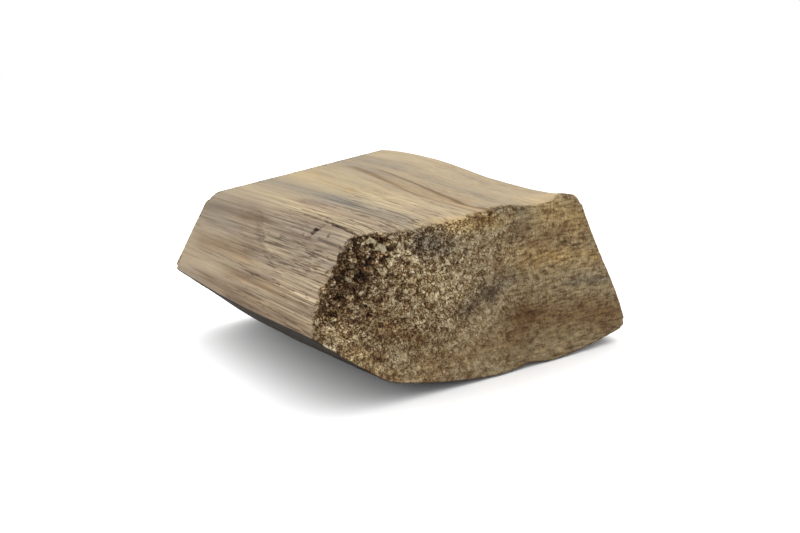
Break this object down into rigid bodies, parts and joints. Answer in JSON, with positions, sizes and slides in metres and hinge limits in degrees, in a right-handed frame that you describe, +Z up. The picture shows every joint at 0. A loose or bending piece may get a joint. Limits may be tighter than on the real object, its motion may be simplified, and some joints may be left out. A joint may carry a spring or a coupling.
{
  "type": "smoking wood chunk",
  "caption": "Chunk of dry hardwood, split along the grain and sawn across at both ends, burned slowly in a grill or smoker to flavour food.",
  "frame": {"origin": "on the surface that the chunk lies on, under the middle of its box", "axes": "+X along the grain towards the sawn end with the torn corner, +Y across the grain towards the foot of the long sloping side, +Z up"},
  "size_m": [0.0649, 0.0704, 0.034],
  "materials": {
    "hardwood": "bare, dry hardwood: matt and fibrous along the split faces, rough and crumbly on the sawn ends"
  },
  "bodies": {
    "root": {"wood_chunk": "hardwood"}
  },
  "joints": []
}
